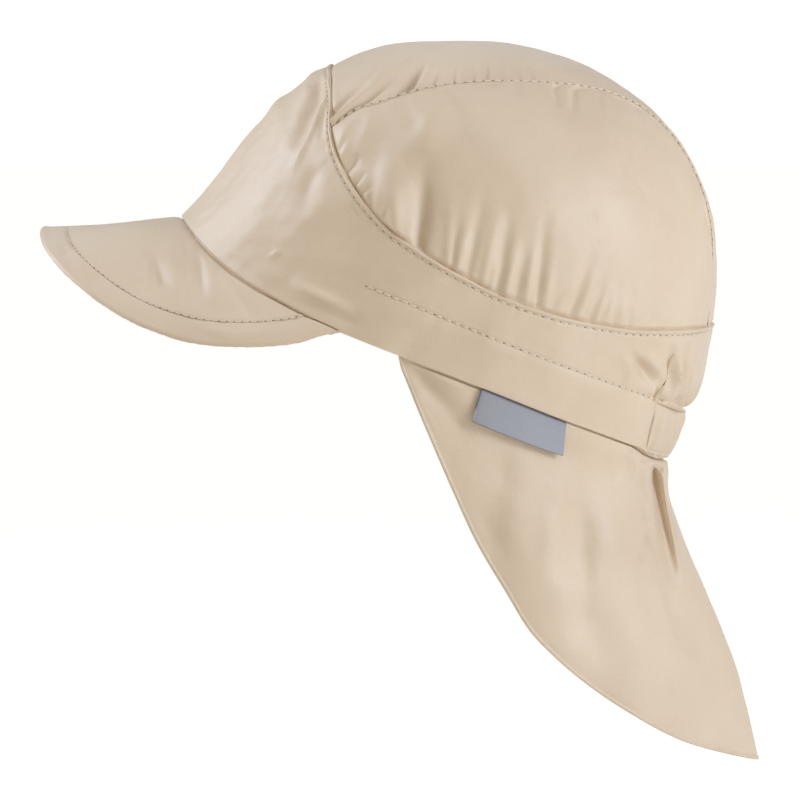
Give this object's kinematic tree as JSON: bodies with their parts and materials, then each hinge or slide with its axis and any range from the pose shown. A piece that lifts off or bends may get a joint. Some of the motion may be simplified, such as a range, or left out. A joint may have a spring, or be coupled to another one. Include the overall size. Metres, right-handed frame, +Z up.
{
  "type": "child's legionnaire cap",
  "caption": "Child's cotton sun cap with a curved peak, a gathered crown, an elastic casing at the back and a hanging neck flap with a bare side label.",
  "frame": {"origin": "centre of the head opening, in the plane of its edge, where the cap sits on a head", "axes": "+Z up and -Y forwards to the peak with the cap as worn, +X to the wearer's left; the plane of the head opening rises 22.4 degrees towards the peak"},
  "size_m": [0.1508, 0.2385, 0.2403],
  "materials": {
    "cap_cloth": "smooth beige cotton poplin with a soft sheen",
    "peak_cloth": "beige cotton poplin over a stiff insert, with one row of topstitching",
    "flap_cloth": "single layer of beige cotton poplin with a narrow rolled hem",
    "label_cloth": "plain grey woven label, folded double"
  },
  "bodies": {
    "root": {"wall_panel": "cap_cloth", "top_strip": "cap_cloth", "side_panel_left": "cap_cloth", "side_panel_right": "cap_cloth", "elastic_casing": "cap_cloth", "peak": "peak_cloth", "neck_flap": "flap_cloth", "flap_hem": "flap_cloth", "side_label": "label_cloth"}
  },
  "joints": []
}
